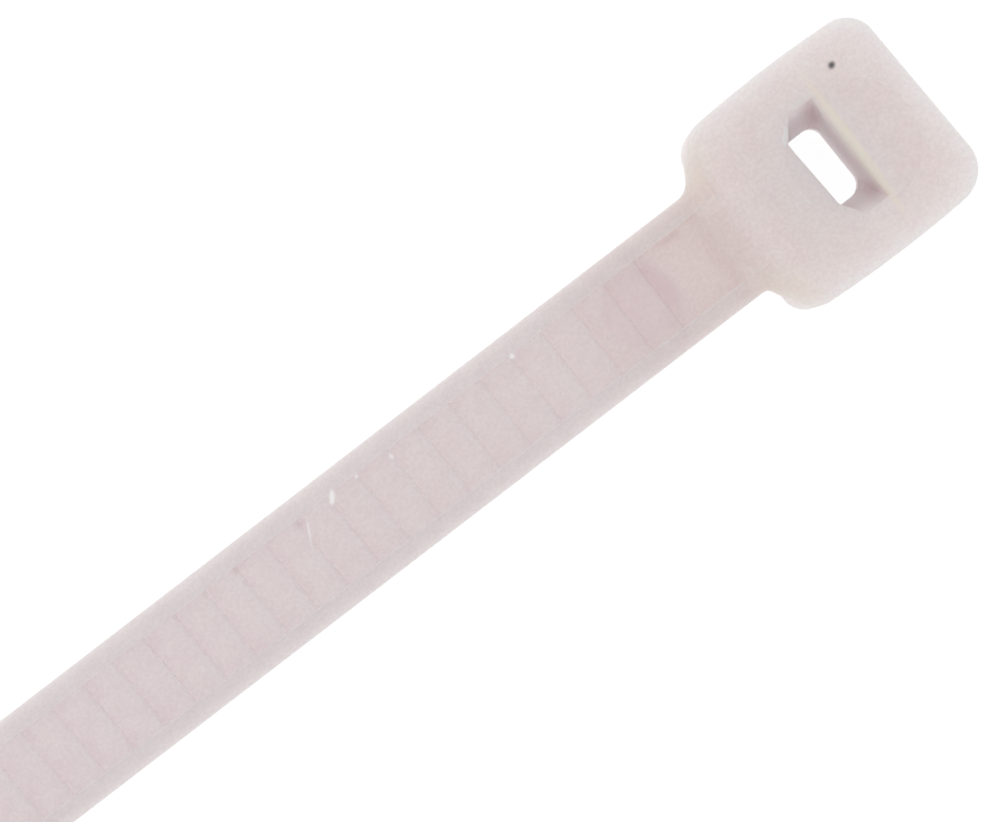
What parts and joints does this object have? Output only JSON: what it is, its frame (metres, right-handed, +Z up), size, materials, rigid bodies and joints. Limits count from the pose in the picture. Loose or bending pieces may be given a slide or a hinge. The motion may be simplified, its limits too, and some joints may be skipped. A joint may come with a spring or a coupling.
{
  "type": "cable tie",
  "caption": "Self-locking cable tie in natural nylon: toothed strap, slotted head with an integral pawl, and a tapered tail.",
  "frame": {"origin": "middle of the overall box in X and Y, on the plane that the tie rests on", "axes": "+X along the strap towards the head, +Y across the strap, +Z up, out of the toothed face"},
  "size_m": [0.15, 0.0066, 0.0046],
  "materials": {
    "natural_nylon": "satin, as moulded, milky"
  },
  "bodies": {
    "root": {"cable_tie": "natural_nylon"}
  },
  "joints": []
}
